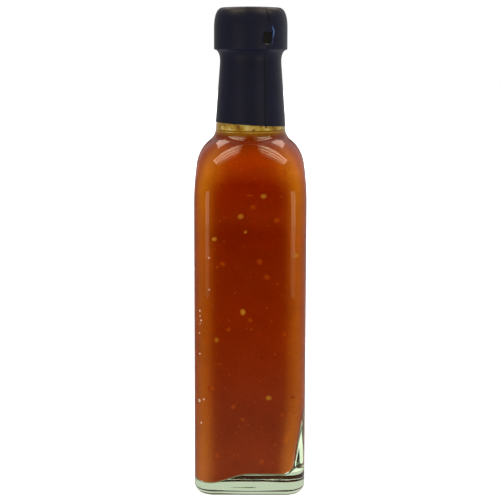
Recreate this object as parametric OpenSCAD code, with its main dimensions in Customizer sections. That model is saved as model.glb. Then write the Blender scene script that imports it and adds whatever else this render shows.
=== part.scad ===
// Square sauce bottle: a clear glass bottle filled with sauce to the foot of its neck,
// closed by a screw cap, with one thin shrunk sleeve over the cap and the neck.
// Millimetres, +Z up. The origin is the middle of the base, on the surface it stands on.

/* [Body] */
// Width of the square body across its flat sides
body_w = 47.6; // [44:0.1:52]
// Radius of the body's upright corners, seen from above
corner_r = 8.5; // [6:0.1:11]
// Radius of the heel, where the sides turn under to the base
heel_r = 4.5; // [3:0.1:6]
// Height at which the sides begin to lean in
lean_z = 124.3; // [90:0.1:150]

/* [Shoulder and neck] */
// Radius of the long gentle lean at the top of the sides
lean_r = 164; // [110:1:190]
// Angle from upright at which the lean turns into the shoulder
lean_angle = 6.2; // [5:0.1:8]
// Radius of the rounded shoulder
shoulder_r = 14.2; // [12:0.1:15]
// Angle from upright where the shoulder is at its flattest
shoulder_angle = 52.4; // [50:0.1:54]
// Radius of the hollow curve from the shoulder into the neck
throat_r = 6.4; // [6:0.1:8]
// Lean of the neck from upright
neck_angle = 4.2; // [2.5:0.1:4.5]
// Length of the leaning neck, up to the ring under the cap
neck_len = 29; // [24:0.5:34]
// Length of the straight finish that the cap closes over
finish_len = 20.4; // [18:0.1:22]

/* [Glass] */
// Wall of the sides
wall = 2.2; // [1.6:0.1:2.6]
// Wall of the neck
neck_wall = 2.3; // [1.8:0.1:2.8]
// Depth of the hollow under the base
push_up = 1.4; // [0.8:0.1:2]
// Width of the flat ring that the bottle stands on
foot_w = 2.6; // [1.5:0.1:4]
// Height of the inner floor on its thin side
floor_low = 5.6; // [4.5:0.1:7]
// Height of the inner floor from the middle to its thick side
floor_high = 9.2; // [7:0.1:11]
// Extra glass inside the lower wall on the thick side
wall_bulge = 2.4; // [0:0.1:3]
// Height at which that extra glass has died away
bulge_z = 40; // [30:1:60]

/* [Sauce] */
// Height of the sauce's surface
sauce_z = 155.2; // [135:0.1:170]

/* [Cap and sleeve] */
// Outer diameter of the sleeved cap
head_d = 31.3; // [30.5:0.1:33]
// Overall height of the bottle
total_h = 208; // [207.3:0.1:210]
// Height of the cap's side below its rounded top
head_side = 8.2; // [5:0.1:10]
// Thickness of the sleeve's film
film = 0.2; // [0.15:0.01:0.3]
// Height of the sleeve's lower edge at the middle
edge_z = 158.6; // [158:0.1:164]
// How far the sleeve's lower edge is out of level, in degrees
edge_tilt = 3.4; // [0:0.1:5]
// Width of the opening in the sleeve where its seam has parted on the cap
notch_w = 3.6; // [2:0.1:5]
// Height of that opening
notch_h = 5.6; // [3:0.1:7]

/* [Hidden] */

CORNER_STEPS = 6;    // steps round each upright corner
FLAT_STEPS = 5;      // steps along each flat side
ARC_STEPS = 4;       // steps along each curve of the outline
FIT = 0.05;          // room between the glass and what it touches
half_w = body_w / 2;
round_n = 160;       // sides of the turned pieces

// A smooth rise from 0 to 1 as t goes from 0 to 1
function ease(t) = t <= 0 ? 0 : t >= 1 ? 1 : t * t * (3 - 2 * t);

function mix(a, b, t) = a + (b - a) * t;

// --- The upright outline: points [half width, height] of three joined arcs ---
lean_top = [
    half_w - lean_r * (1 - cos(lean_angle)),
    lean_z + lean_r * sin(lean_angle)
];
shoulder_top = [
    lean_top[0] - shoulder_r * (cos(lean_angle) - cos(shoulder_angle)),
    lean_top[1] + shoulder_r * (sin(shoulder_angle) - sin(lean_angle))
];
neck_foot = [
    shoulder_top[0] - throat_r * (cos(neck_angle) - cos(shoulder_angle)),
    shoulder_top[1] + throat_r * (sin(shoulder_angle) - sin(neck_angle))
];
neck_top = [
    neck_foot[0] - neck_len * tan(neck_angle),
    neck_foot[1] + neck_len
];
finish_r = neck_top[0] - 0.3;
rim_z = neck_top[1] + finish_len;

// Each point of the outline also carries the angle from upright that the glass leans there
lean = [for (i = [0:ARC_STEPS])
    let (a = lean_angle * i / ARC_STEPS)
    [half_w - lean_r * (1 - cos(a)), lean_z + lean_r * sin(a), a]];
shoulder = [for (i = [1:ARC_STEPS + 1])
    let (a = mix(lean_angle, shoulder_angle, i / (ARC_STEPS + 1)))
    [lean_top[0] - shoulder_r * (cos(lean_angle) - cos(a)),
     lean_top[1] + shoulder_r * (sin(a) - sin(lean_angle)), a]];
throat = [for (i = [1:ARC_STEPS])
    let (a = mix(shoulder_angle, neck_angle, i / ARC_STEPS))
    [shoulder_top[0] - throat_r * (cos(a) - cos(shoulder_angle)),
     shoulder_top[1] + throat_r * (sin(shoulder_angle) - sin(a)), a]];
upper_outline = concat(lean, shoulder, throat);

// The inside follows the outside at the thickness of the wall, square to the glass
function wall_at(z) = mix(wall, neck_wall, ease((z - lean_z) / (neck_foot[1] - lean_z)));
upper_inside = [for (p = upper_outline)
    let (t = wall_at(p[1]))
    [p[0] - t * cos(p[2]), p[1] - t * sin(p[2])]];

// How round a level is: the corner's radius as a share of the half width, which grows
// from the body's own share to nearly 1 at the neck
nearly_round = 0.995;
square_above_lean = 6;
round_below_neck = 2;
function roundness(z, body_share) = mix(body_share, nearly_round,
    ease((z - lean_z - square_above_lean)
        / (neck_foot[1] - round_below_neck - lean_z - square_above_lean)));

// --- Level rings: a square with round corners, as a list of points ---
// w is the half width, r the corner's radius, inset how far it is shrunk, z the height
function corner_points(w, r, c) = [for (k = [0:CORNER_STEPS])
    let (a = 90 * c + 90 * k / CORNER_STEPS)
    let (sx = c == 0 || c == 3 ? 1 : -1)
    let (sy = c < 2 ? 1 : -1)
    [sx * (w - r) + r * cos(a), sy * (w - r) + r * sin(a)]];
function flat_points(w, r, c) = [for (k = [1:FLAT_STEPS - 1])
    let (u = mix(w - r, -(w - r), k / FLAT_STEPS))
    c == 0 ? [u, w] : c == 1 ? [-w, u] : c == 2 ? [-u, -w] : [w, -u]];
function level(w, r) = [for (c = [0:3]) each concat(corner_points(w, r, c), flat_points(w, r, c))];
function at_height(points, z) = [for (p = points) [p[0], p[1], z]];
RING = 4 * (CORNER_STEPS + FLAT_STEPS);

// --- The glass outside: foot, heel, sides, shoulder, neck and finish ---
foot_out = half_w - heel_r;
foot_in = foot_out - foot_w;
hollow_rings = [for (s = [0.35, 0.75])
    at_height(level(foot_in * s, (corner_r - heel_r) * s), push_up * (1 - s * s))];
foot_step = 0.4;       // run of the small slope just inside the foot
foot_rings = [
    at_height(level(foot_in - foot_step, corner_r - heel_r), push_up * 0.25),
    at_height(level(foot_in, corner_r - heel_r), 0)
];
heel_rings = [for (i = [0:ARC_STEPS])
    let (a = 90 * i / ARC_STEPS)
    let (inset = heel_r * (1 - sin(a)))
    at_height(level(half_w - inset, corner_r - inset), heel_r * (1 - cos(a)))];
function outer_ring(p) = at_height(level(p[0], p[0] * roundness(p[1], corner_r / half_w)), p[1]);
upper_rings = [for (p = upper_outline) outer_ring(p)];
finish_step = 0.6;     // rise of the step from the neck in to the finish
neck_rings = [
    outer_ring(neck_top),
    outer_ring([finish_r, neck_top[1] + finish_step]),
    outer_ring([finish_r, rim_z])
];

// --- The glass inside: bore, shoulder, sides with the extra glass, heel and uneven floor ---
in_half = half_w - wall;
in_corner = corner_r - wall;
function inner_ring(p, gap) = let (w = p[0] - gap)
    at_height(level(w, w * roundness(p[1], in_corner / in_half)), p[1]);
bore_rings = [
    inner_ring([finish_r - neck_wall, rim_z], 0),
    inner_ring([neck_top[0] - neck_wall, neck_top[1]], 0)
];

// The floor rises from the thin side to the middle, then dips a little
rise_from = -17;
rise_to = -1;
dip = 0.5;
function floor_z(x) = mix(floor_low, floor_high, ease((x - rise_from) / (rise_to - rise_from)))
    - dip * ease((x - rise_to) / (in_half - rise_to));
function bulge(z) = wall_bulge * (1 - ease((z - floor_high) / (bulge_z - floor_high)));
// The extra glass pushes the wall in on the +X side only
function pushed(x, z) = x - bulge(z) * ease(x / in_half);
function side_ring(z, gap) = [for (p = level(in_half - gap, in_corner - gap)) [pushed(p[0], z), p[1], z]];

side_start = floor_high + 5;     // where the inner heel is left behind
side_steps = 4;
function side_rings(gap) = [for (i = [0:side_steps])
    side_ring(mix(side_start, bulge_z, i / side_steps), gap)];

// The inner heel is tight on the thin side and wide on the thick side
thin_heel_r = 2.2;
thick_heel_r = 4.2;
function inner_heel_r(x) = mix(thin_heel_r, thick_heel_r, ease((x + in_half) / body_w));
function heel_point(i, a, gap) = let (far = level(in_half - gap, in_corner - gap)[i])
    let (r = inner_heel_r(far[0]))
    let (inset = gap + r * (1 - cos(a)))
    let (near = level(in_half - inset, in_corner - inset)[i])
    [pushed(near[0], floor_high), near[1], floor_z(near[0]) + gap + r * (1 - sin(a))];
function inner_heel_rings(gap) = [for (s = [0:ARC_STEPS])
    [for (i = [0:RING - 1]) heel_point(i, 90 * s / ARC_STEPS, gap)]];
function floor_rings(gap) = [for (s = [0.66, 0.33])
    [for (i = [0:RING - 1]) let (p = heel_point(i, 90, gap))
        [p[0] * s, p[1] * s, floor_z(p[0] * s) + gap]]];

function reversed(list) = [for (i = [len(list) - 1:-1:0]) list[i]];

// --- A closed skin over a stack of rings, with a point at each end ---
module skin(rings, first, last) {
    count = len(rings);
    points = concat([first], [for (r = rings) each r], [last]);
    bands = [for (i = [0:count - 2], j = [0:RING - 1])
        let (k = (j + 1) % RING)
        let (a = 1 + i * RING + j, b = 1 + (i + 1) * RING + j)
        let (c = 1 + (i + 1) * RING + k, d = 1 + i * RING + k)
        each [[a, b, c], [a, c, d]]];
    first_fan = [for (j = [0:RING - 1]) [0, 1 + j, 1 + (j + 1) % RING]];
    last_fan = [for (j = [0:RING - 1])
        let (base = 1 + (count - 1) * RING)
        [base + RING, base + (j + 1) % RING, base + j]];
    polyhedron(points, concat(first_fan, bands, last_fan));
}

// The bottle is one wall of glass, followed from under its base, up the outside,
// over the rim and down the inside to the middle of its floor
module bottle() {
    inside_up = concat(
        reversed(floor_rings(0)),
        reversed(inner_heel_rings(0)),
        side_rings(0),
        [for (p = upper_inside) inner_ring(p, 0)]
    );
    rings = concat(
        hollow_rings,
        foot_rings,
        heel_rings,
        upper_rings,
        neck_rings,
        bore_rings,
        reversed(inside_up)
    );
    color([0.80, 0.88, 0.78, 0.35])
        skin(rings, [0, 0, push_up], [0, 0, floor_z(0)]);
}

// The sauce fills the inside up to its level
module sauce() {
    covered = [for (p = upper_inside) if (p[1] < sauce_z - FIT) p];
    low = covered[len(covered) - 1];
    neck_inside = [neck_top[0] - neck_wall, neck_top[1]];
    high = len(covered) < len(upper_inside) ? upper_inside[len(covered)] : neck_inside;
    surface_w = mix(low[0], high[0], (sauce_z - low[1]) / (high[1] - low[1]));
    rings = concat(
        reversed(floor_rings(FIT)),
        reversed(inner_heel_rings(FIT)),
        side_rings(FIT),
        [for (p = covered) inner_ring(p, FIT)],
        [inner_ring([surface_w, sauce_z], FIT)]
    );
    color([0.52, 0.15, 0.03])
        skin(rings, [0, 0, floor_z(0) + FIT], [0, 0, sauce_z]);
}

// --- Cap and sleeve: turned outlines, [radius, height] ---
head_r = head_d / 2;
edge_h = 9.5;          // height of the head's rounded upper part
head_foot_z = total_h - edge_h - head_side;
crown_r = 11.5;        // where the rounded edge gives way to the flat top
crown_drop = 0.35;     // how much lower the top is there than at the middle
edge_power = 2.5;      // fullness of the rounded edge, 2 for an ellipse
EDGE_STEPS = 8;
CROWN_STEPS = 3;

// The rounded edge of the top, from the side up to the crown, inset by t all round
function head_edge(t) = [for (i = [0:EDGE_STEPS])
    let (a = 90 * i / EDGE_STEPS)
    let (low_z = head_foot_z + head_side)
    let (high_z = total_h - crown_drop - t)
    [crown_r + (head_r - t - crown_r) * pow(cos(a), 2 / edge_power),
     low_z + (high_z - low_z) * pow(sin(a), 2 / edge_power)]];
function crown(t) = [for (i = [1:CROWN_STEPS])
    let (s = 1 - i / CROWN_STEPS)
    [crown_r * s, total_h - t - crown_drop * s * s]];

// The sleeve's own outline: up the neck, out under the cap, up its side and over the top.
// Under the cap it hangs in a hollow quarter curve, drawn tight between neck and head.
neck_sleeve_r = neck_top[0] + film + 2 * FIT;
lip = 0.35;            // radius of the head's lower edge
hang_out = head_r - lip - neck_sleeve_r;
hang_up = head_foot_z - lip - neck_top[1];
HANG_STEPS = 4;
under_head = [for (i = [0:HANG_STEPS])
    let (a = 90 * i / HANG_STEPS)
    [neck_sleeve_r + hang_out * (1 - cos(a)), neck_top[1] + hang_up * sin(a)]];
sleeve_low = edge_z - 4;
sleeve_high = edge_z + 4;
flare = 0.1;           // the cut edge stands off the glass by this much more
function sleeve_r(z) = neck_foot[0] - (z - neck_foot[1]) * tan(neck_angle) + FIT + film;
function sleeve_outline(t, low) = concat(
    [
        [0, low],
        [sleeve_r(low) + flare - t, low],
        [sleeve_r(sleeve_high) - t, sleeve_high]
    ],
    [for (p = under_head) [p[0] - t, p[1] + t / 2]],
    [[head_r - t, head_foot_z + t / 2]],
    head_edge(t),
    crown(t)
);
seam_x = 7;            // the seam runs down the front, to the right of the middle
notch_z = head_foot_z + 1.2;
cut = body_w;          // size of the blocks that trim the sleeve

module sleeve() {
    color([0.15, 0.15, 0.18])
        difference() {
            rotate_extrude($fn = round_n)
                polygon(sleeve_outline(0, sleeve_low));
            rotate_extrude($fn = round_n)
                polygon(sleeve_outline(film, sleeve_low - 1));
            // the lower edge was cut out of level
            translate([0, 0, edge_z])
                rotate([0, edge_tilt, 0])
                translate([-cut / 2, -cut / 2, -cut])
                cube(cut);
            // the seam has parted here and shows the cap
            translate([seam_x - notch_w / 2, -cut, notch_z])
                cube([notch_w, cut, notch_h]);
        }
}

// The cap: a cup over the finish, closed on the rim
module cap() {
    gap = film + FIT;
    cap_foot_z = head_foot_z + 2 * film;
    finish_gap = 0.3;
    color([0.10, 0.10, 0.10])
        difference() {
            rotate_extrude($fn = round_n)
                polygon(concat(
                    [[0, cap_foot_z], [head_r - gap, cap_foot_z]],
                    head_edge(gap),
                    crown(gap)
                ));
            cylinder(h = rim_z + FIT, r = finish_r + finish_gap, $fn = round_n);
        }
}

bottle();
sauce();
cap();
sleeve();
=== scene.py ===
# %% [markdown]
# # A square glass bottle of hot sauce
#
# The object is a clear square bottle full of thick chilli sauce, with a black film shrunk over
# its cap and neck. The measured model comes in first as a frame, and every piece made here is
# placed by it. Sizes below are in millimetres, as a bottle maker writes them, and `MM` turns
# them into the scene's metres.

# %% Load the frame
import math
import random

import bmesh
import bpy
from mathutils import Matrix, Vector, noise


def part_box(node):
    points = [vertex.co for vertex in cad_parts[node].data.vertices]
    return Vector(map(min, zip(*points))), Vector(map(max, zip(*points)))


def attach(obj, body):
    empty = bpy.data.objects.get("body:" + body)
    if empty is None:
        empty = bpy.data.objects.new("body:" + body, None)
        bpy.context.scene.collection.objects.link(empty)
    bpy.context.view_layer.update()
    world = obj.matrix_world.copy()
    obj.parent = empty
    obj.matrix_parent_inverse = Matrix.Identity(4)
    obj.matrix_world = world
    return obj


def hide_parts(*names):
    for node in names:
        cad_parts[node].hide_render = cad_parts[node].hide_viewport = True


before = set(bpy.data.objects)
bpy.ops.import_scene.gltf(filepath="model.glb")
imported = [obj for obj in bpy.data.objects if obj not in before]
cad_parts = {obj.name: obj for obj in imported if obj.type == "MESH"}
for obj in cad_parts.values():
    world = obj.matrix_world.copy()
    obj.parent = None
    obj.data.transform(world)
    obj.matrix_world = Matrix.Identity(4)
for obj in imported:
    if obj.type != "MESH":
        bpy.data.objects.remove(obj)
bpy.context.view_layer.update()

MM = 0.001

# %% [markdown]
# ## Sizes from the frame
#
# The frame gives each solid's lowest and highest corner. The width of the glass and of its wall,
# the level of the sauce and the size of the sleeved head are all read from it, so the looks
# follow if the measured model is changed.

# %% Sizes from the frame
_, glass_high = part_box("bottle")
_, sauce_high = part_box("sauce")
_, sleeve_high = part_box("sleeve")
HALF = glass_high[0] / MM
RIM_Z = glass_high[2] / MM
SAUCE_Z = sauce_high[2] / MM
WALL = (glass_high[1] - sauce_high[1]) / MM
HEAD_R = sleeve_high[0] / MM
TOP_Z = sleeve_high[2] / MM
print(f"half width {HALF:.1f}, wall {WALL:.2f}, sauce to {SAUCE_Z:.1f}")
print(f"head radius {HEAD_R:.2f}, top {TOP_Z:.1f}")

# %% [markdown]
# ## Camera
#
# A long lens from a step back keeps the sides of the bottle nearly parallel. It stands level
# with the foot of the head and looks down a little, so the thick base is seen from just above
# and the cap shows none of its top.

# %% Camera
CAMERA_X = -0.3
CAMERA_BACK = 600
CAMERA_Z = 190
CAMERA_TILT = 8.18
CAMERA_ROLL = 0.15
LENS = 100.4
camera_data = bpy.data.cameras.new("camera")
camera_data.lens = LENS
camera_data.sensor_width = 36
camera = bpy.data.objects.new("camera", camera_data)
camera.location = (CAMERA_X * MM, -CAMERA_BACK * MM, CAMERA_Z * MM)
camera.rotation_euler = (math.radians(90 - CAMERA_TILT), -math.radians(CAMERA_ROLL), 0)
bpy.context.collection.objects.link(camera)
bpy.context.scene.camera = camera
bpy.context.scene.view_settings.view_transform = "Standard"
print("camera", tuple(round(v, 3) for v in camera.location))

# %% [markdown]
# ## Making materials
#
# Colours are written as the hex values a painter would pick on a screen, and one function turns
# them into the linear light values that the shaders use. One small function adds a node with
# its settings and links. Two more begin a material and, when its shader is ready, put it on a
# piece.

# %% Helpers for materials
def colour(hex_code, alpha=1.0):
    """A screen colour such as "#C04010" as linear red, green, blue and alpha."""
    parts = [int(hex_code[i:i + 2], 16) / 255 for i in (1, 3, 5)]
    linear = [p / 12.92 if p <= 0.04045 else ((p + 0.055) / 1.055) ** 2.4 for p in parts]
    return (*linear, alpha)


def add_node(tree, kind, settings=None, links=None):
    """Adds a node, gives its inputs or options their values, and links its inputs.

    A kind such as "Math.ADD" also names the node's operation.
    """
    kind, _, operation = kind.partition(".")
    node = tree.nodes.new("ShaderNode" + kind)
    if operation:
        node.operation = operation
    for name, value in (settings or {}).items():
        if isinstance(name, int) or name in node.inputs:
            node.inputs[name].default_value = value
        else:
            setattr(node, name, value)
    for name, source in (links or {}).items():
        tree.links.new(source, node.inputs[name])
    return node


def new_material(name):
    """An empty material and its node tree."""
    material = bpy.data.materials.new(name)
    material.use_nodes = True
    material.node_tree.nodes.clear()
    return material, material.node_tree


def put_on(piece, material, shader):
    """Makes a shader the material's surface and adds the material to a piece."""
    output = add_node(material.node_tree, "OutputMaterial", {}, {"Surface": shader.outputs[0]})
    piece.data.materials.append(material)
    print(f"{material.name} on {piece.name}")
    return output


# %% [markdown]
# ## Rings
#
# Every turned or moulded piece here is a stack of closed rings. The first ring is a bmesh
# circle, and each next one is an extrusion of the last, moved to its place. A whole number on
# every vertex, its `place` round the ring, is copied by the extrusion, so one rule can say
# where each vertex of a level goes.
#
# A level of the bottle is a square with round corners that turns into a circle at the neck.
# The places are spread so that the corners get as many as the flats. Their directions from the
# middle stay the same at every level, so no ring is twisted and the neck stays evenly divided.

# %% Helpers for rings
CORNER_PLACES = 16
FLAT_PLACES = 16
PLACES = 4 * (CORNER_PLACES + FLAT_PLACES)
CORNER_R = 8.5


def spread_directions():
    """The angle of each place, from +X towards +Y, as it lies on the square body."""
    angles = []
    for quarter in range(4):
        for k in range(CORNER_PLACES):
            turn = math.radians(90 * k / CORNER_PLACES)
            x = HALF - CORNER_R + CORNER_R * math.cos(turn)
            y = HALF - CORNER_R + CORNER_R * math.sin(turn)
            angles.append(math.atan2(y, x) + quarter * math.pi / 2)
        for k in range(FLAT_PLACES):
            along = (HALF - CORNER_R) * (1 - 2 * k / FLAT_PLACES)
            angles.append(math.atan2(HALF, along) + quarter * math.pi / 2)
    return angles


DIRECTIONS = spread_directions()


def reach(angle, half, corner):
    """How far a square with round corners reaches from its middle in one direction."""
    a, b = abs(math.cos(angle)), abs(math.sin(angle))
    long, short = max(a, b), min(a, b)
    middle = half - corner
    if half / long * short <= middle:
        return half / long
    return middle * (long + short) + math.sqrt(max(corner ** 2 - (middle * (long - short)) ** 2, 0))


def ease(t):
    """A smooth rise from 0 to 1 as t goes from 0 to 1."""
    t = min(max(t, 0.0), 1.0)
    return t * t * (3 - 2 * t)


def mix(a, b, t):
    return a + (b - a) * t


def stack_of_rings(name, rings, places, close_first=True, close_last=True, join=False, paint=None):
    """A mesh object from a list of rings. Each ring is a rule from place to a point in mm.

    join merges a last ring that lies on the first, so that a thin shell closes on itself.
    paint holds rules from place and point to a number, kept as attributes of the mesh.
    """
    bm = bmesh.new()
    place = bm.verts.layers.int.new("place")
    first = bmesh.ops.create_circle(bm, segments=places, radius=MM)["verts"]
    for i, vert in enumerate(first):
        vert[place] = i
        vert.co = Vector(rings[0](i)) * MM
    edges = list(bm.edges)
    first_edges = edges
    for ring in rings[1:]:
        made = bmesh.ops.extrude_edge_only(bm, edges=edges)["geom"]
        edges = [g for g in made if isinstance(g, bmesh.types.BMEdge)
                 and all(v in made for v in g.verts)]
        for vert in {v for e in edges for v in e.verts}:
            vert.co = Vector(ring(vert[place])) * MM
    for closed, loop in ((close_first, first_edges), (close_last, edges)):
        if closed:
            made = bmesh.ops.extrude_edge_only(bm, edges=loop)["geom"]
            tips = [g for g in made if isinstance(g, bmesh.types.BMVert)]
            middle = sum((v.co for v in tips), Vector()) / len(tips)
            bmesh.ops.pointmerge(bm, verts=tips, merge_co=middle)
    if join:
        bmesh.ops.remove_doubles(bm, verts=bm.verts, dist=0.001 * MM)
    bmesh.ops.recalc_face_normals(bm, faces=bm.faces)
    for attribute, rule in (paint or {}).items():
        layer = bm.verts.layers.float.new(attribute)
        place = bm.verts.layers.int["place"]
        for vert in bm.verts:
            vert[layer] = rule(vert[place], vert.co / MM)
    bm.verts.layers.int.remove(bm.verts.layers.int["place"])
    return finish_mesh(bm, name)


def finish_mesh(bm, name):
    """Turns a bmesh into a scene object at the origin, smooth shaded."""
    mesh = bpy.data.meshes.new(name)
    for face in bm.faces:
        face.smooth = True
    bm.to_mesh(mesh)
    bm.free()
    piece = bpy.data.objects.new(name, mesh)
    bpy.context.collection.objects.link(piece)
    print(f"{name}: {len(mesh.polygons)} faces")
    return piece


# %% [markdown]
# ## The outline of the mould
#
# The sides rise straight, lean in along a very large arc, round over the shoulder and sweep
# into the neck along a hollow arc. Three arcs that meet without a kink give the whole outline,
# as half width, height and lean from upright.

# %% The outline of the mould
LEAN_Z, LEAN_R, LEAN_A = 124.3, 164, 6.2
SHOULDER_R, SHOULDER_A = 14.2, 52.4
THROAT_R, NECK_A = 6.4, 4.2
NECK_LEN = 29
FINISH_IN = 0.3


def arc_points(start, radius, angle_from, angle_to, steps):
    """Points along an arc of the outline, from one lean to the other, without the first."""
    points = []
    turn = 1 if angle_to > angle_from else -1
    for i in range(1, steps + 1):
        a = math.radians(mix(angle_from, angle_to, i / steps))
        a0 = math.radians(angle_from)
        points.append((start[0] - turn * radius * (math.cos(a0) - math.cos(a)),
                       start[1] + turn * radius * (math.sin(a) - math.sin(a0)),
                       math.degrees(a)))
    return points


lean = arc_points((HALF, LEAN_Z), LEAN_R, 0, LEAN_A, 10)
shoulder = arc_points(lean[-1], SHOULDER_R, LEAN_A, SHOULDER_A, 16)
throat = arc_points(shoulder[-1], THROAT_R, SHOULDER_A, NECK_A, 14)
NECK_FOOT = throat[-1]
NECK_TOP = (NECK_FOOT[0] - NECK_LEN * math.tan(math.radians(NECK_A)), NECK_FOOT[1] + NECK_LEN)
outline = [(HALF, LEAN_Z, 0)] + lean + shoulder + throat
print(f"neck from z {NECK_FOOT[1]:.1f}, radius {NECK_FOOT[0]:.2f}")
print(f"neck to z {NECK_TOP[1]:.1f}, radius {NECK_TOP[0]:.2f}")


ROUND_FROM, ROUND_TO = LEAN_Z + 6, NECK_FOOT[1] - 2


def roundness(z, body_share):
    """The corner's radius as a share of the half width: the body's own below, a circle above."""
    return mix(body_share, 1.0, ease((z - ROUND_FROM) / (ROUND_TO - ROUND_FROM)))


def level_ring(half, corner, z):
    """The rule for one level ring."""
    def point(i):
        r = reach(DIRECTIONS[i], half, corner)
        return (r * math.cos(DIRECTIONS[i]), r * math.sin(DIRECTIONS[i]), z)
    return point


# %% [markdown]
# ## The inside of the glass
#
# The bottle is blown: the mould gives the outside its true square, but the inside is only where
# the air pushed the soft glass, so it is wavy, thicker at one lower corner, and its floor is
# higher on one side. All of that shows, because thick clear glass bends what is behind it.
#
# `inner_point` finds the inner wall in any direction and at any height. The rings use it, and so
# does everything that later lies against the inside, such as seeds and bubbles.

# %% The inside of the glass
NECK_WALL = 2.3
FLOOR_LOW, FLOOR_HIGH = 5.6, 9.2
BULGE, BULGE_TOP = 3.2, 48
IN_HALF = HALF - WALL
IN_CORNER = CORNER_R - WALL
RISE_FROM, RISE_TO, DIP = -17, -1, 0.5
THIN_HEEL, THICK_HEEL = 2.2, 4.2
WAVE, WAVE_LENGTH, WAVE_UPRIGHT = 0.12, 22, 0.6


def floor_z(x):
    rise = ease((x - RISE_FROM) / (RISE_TO - RISE_FROM))
    return mix(FLOOR_LOW, FLOOR_HIGH, rise) - DIP * ease((x - RISE_TO) / (IN_HALF - RISE_TO))


def pushed(x, z):
    """Where the thick glass on the +X side moves a point of the inner wall to."""
    bulge = BULGE * (1 - ease((z - FLOOR_HIGH) / (BULGE_TOP - FLOOR_HIGH)))
    return x - bulge * ease(x / IN_HALF)


def wave(x, y, z):
    """The slow unevenness of the blown inner wall, as a thickness in mm."""
    return WAVE * noise.noise(Vector((x, y, z * WAVE_UPRIGHT)) / WAVE_LENGTH)


def wall_at(z):
    return mix(WALL, NECK_WALL, ease((z - LEAN_Z) / (NECK_FOOT[1] - LEAN_Z)))


inside = [(p[0] - wall_at(p[1]) * math.cos(math.radians(p[2])),
           p[1] - wall_at(p[1]) * math.sin(math.radians(p[2]))) for p in outline]
neck_in = NECK_TOP[0] - NECK_WALL


def inside_half(z):
    """Half the width of the inside at a height above the heel."""
    points = [(IN_HALF, 0)] + inside + [(neck_in, NECK_TOP[1])]
    for (w0, z0), (w1, z1) in zip(points, points[1:]):
        if z0 <= z <= z1:
            return mix(w0, w1, (z - z0) / (z1 - z0))
    return neck_in


def inner_point(angle, half, z, grow):
    """The inner wall in one direction. grow moves it out into the glass."""
    r = reach(angle, half, half * roundness(z, IN_CORNER / IN_HALF))
    r += grow - wave(r * math.cos(angle), r * math.sin(angle), z)
    return (pushed(r * math.cos(angle), z), r * math.sin(angle), z)


def inner_ring(half, z, grow):
    return lambda i: inner_point(DIRECTIONS[i], half, z, grow)


def inner_heel_ring(turn, grow):
    """A level of the rounded inner heel; turn goes from 0 at the wall to 90 at the floor."""
    t = math.radians(turn)

    def point(i):
        a = DIRECTIONS[i]
        x = reach(a, IN_HALF, IN_CORNER) * math.cos(a)
        heel = mix(THIN_HEEL, THICK_HEEL, ease((x + IN_HALF) / (2 * HALF)))
        inset = heel * (1 - math.cos(t)) - grow
        near = reach(a, IN_HALF - inset, IN_CORNER - inset)
        x, y = near * math.cos(a), near * math.sin(a)
        return (pushed(x, FLOOR_HIGH), y, floor_z(x) - grow + heel * (1 - math.sin(t)))
    return point


def floor_ring(share, grow):
    """A ring of the uneven floor, at a share of the way out to the heel."""
    edge = inner_heel_ring(90, grow)

    def point(i):
        x, y, z = edge(i)
        return (x * share, y * share, floor_z(x * share) - grow)
    return point


def inside_up(grow, top=1000):
    """The rings of the inside, from the middle of the floor up to the foot of the neck."""
    rings = [floor_ring(s, grow) for s in (0.1, 0.3, 0.5, 0.65, 0.8, 0.92)]
    rings += [inner_heel_ring(90 - 9 * k, grow) for k in range(11)]
    start = FLOOR_HIGH + THICK_HEEL + 0.8
    rings += [inner_ring(IN_HALF, mix(start, BULGE_TOP, k / 8), grow) for k in range(9)]
    rings += [inner_ring(IN_HALF, mix(BULGE_TOP, LEAN_Z, k / 12), grow) for k in range(1, 12)]
    rings += [inner_ring(half, z, grow) for half, z in inside if z < top]
    return rings


# %% [markdown]
# ## The glass
#
# The wall is one closed skin: under the base, up the outside, over the rim, down the inside and
# across the floor. A closed skin with a real thickness is what lets the glass bend light twice
# and turn pale green where it is thick, as at the base.

# %% The glass wall as one skin
HEEL_R = 4.5
FOOT_W = 2.6
PUSH_UP = 1.4
foot_in = HALF - HEEL_R - FOOT_W
foot_corner = CORNER_R - HEEL_R

under = []
for s in (0.08, 0.25, 0.45, 0.65, 0.82, 0.92):
    corner = foot_in * s * mix(1, foot_corner / foot_in, s ** 2)
    under.append(level_ring(foot_in * s, corner, PUSH_UP * (1 - s ** 2)))
foot = [level_ring(foot_in - 0.5, foot_corner, PUSH_UP * 0.12),
        level_ring(foot_in - 0.15, foot_corner, 0.03),
        level_ring(foot_in + 0.3, foot_corner, 0)]
heel = []
for k in range(11):
    t = math.radians(9 * k)
    inset = HEEL_R * (1 - math.sin(t))
    heel.append(level_ring(HALF - inset, CORNER_R - inset, HEEL_R * (1 - math.cos(t))))
sides = [level_ring(HALF, CORNER_R, mix(HEEL_R, LEAN_Z, k / 8)) for k in range(1, 8)]
upper = [level_ring(p[0], p[0] * roundness(p[1], CORNER_R / HALF), p[1]) for p in outline]
finish_r = NECK_TOP[0] - FINISH_IN
bore_r = finish_r - NECK_WALL
neck = []
for k in range(1, 5):
    r = mix(NECK_FOOT[0], NECK_TOP[0], k / 4)
    neck.append(level_ring(r, r, mix(NECK_FOOT[1], NECK_TOP[1], k / 4)))
finish = [level_ring(r, r, z) for r, z in (
    (finish_r, NECK_TOP[1] + 0.6), (finish_r, RIM_Z - 0.5), (finish_r - 0.5, RIM_Z),
    (bore_r + 0.5, RIM_Z), (bore_r, RIM_Z - 0.5), (neck_in, NECK_TOP[1]))]

glass = stack_of_rings(
    "bottle_glass",
    under + foot + heel + sides + upper + neck + finish + list(reversed(inside_up(0))),
    PLACES)
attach(glass, "root")
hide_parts("bottle")

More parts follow.
